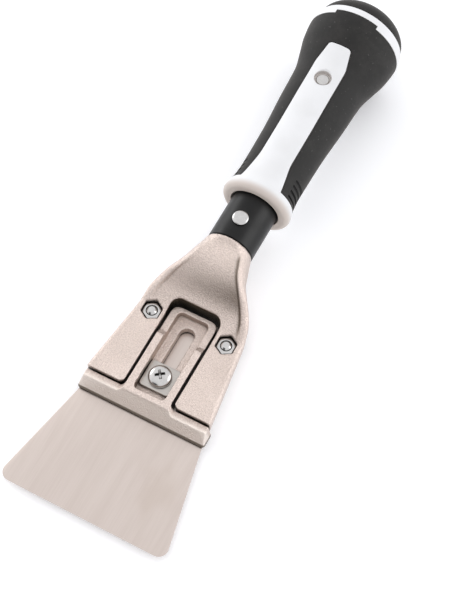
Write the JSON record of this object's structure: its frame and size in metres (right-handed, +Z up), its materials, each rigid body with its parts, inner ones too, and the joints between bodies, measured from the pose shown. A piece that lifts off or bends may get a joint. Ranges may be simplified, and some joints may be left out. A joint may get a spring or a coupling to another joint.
{
  "type": "blade scraper",
  "caption": "Hand scraper with a flared, bolted steel blade, a cast head, a sliding blade support held by a clamp screw, a black steel neck and a soft-grip handle.",
  "frame": {"origin": "on the floor below the middle of the tool's length and width, as it lies on its back plate and the swell of its handle", "axes": "+Y from the cutting edge to the butt, +Z up from the back plate, +X to the right when looking along +Y"},
  "size_m": [0.0732, 0.2548, 0.0424],
  "materials": {
    "blade_steel": "brushed along the blade",
    "cast_metal": "bead-blasted, warm grey",
    "plate_steel": "satin",
    "bright_fixings": "bright plated",
    "black_tube": "satin black",
    "white_plastic": "satin white",
    "black_rubber": "matte charcoal"
  },
  "bodies": {
    "tool": {"blade": "blade_steel", "head_casting": "cast_metal", "back_plate": "plate_steel", "clamp_bush": "bright_fixings", "blade_bolt_left": "bright_fixings", "blade_bolt_right": "bright_fixings", "blade_nut_left": "bright_fixings", "blade_nut_right": "bright_fixings", "neck_tube": "black_tube", "neck_rivet": "bright_fixings", "handle_core": "white_plastic", "grip_sleeve": "black_rubber", "handle_pin": "bright_fixings", "end_cap": "black_rubber"},
    "support": {"support_slide": "cast_metal"},
    "washer": {"clamp_washer": "plate_steel"},
    "screw": {"clamp_screw": "bright_fixings"}
  },
  "joints": [
    {"name": "support_travel", "type": "slide", "parent": "tool", "child": "support", "axis": [0, -1, 0], "range_m": [-0.0003, 0.0218]},
    {"name": "clamp_lift", "type": "slide", "parent": "tool", "child": "washer", "axis": [0, 0, 1], "range_m": [0, 0.0008]},
    {"name": "clamp_turn", "type": "hinge", "parent": "washer", "child": "screw", "pos_m": [0, -0.0633, 0.009], "axis": [0, 0, 1], "range_deg": [0, 365]}
  ],
  "couplings": [
    {"joint": "clamp_turn", "follows": "clamp_lift", "rad_per_m": 7854}
  ]
}
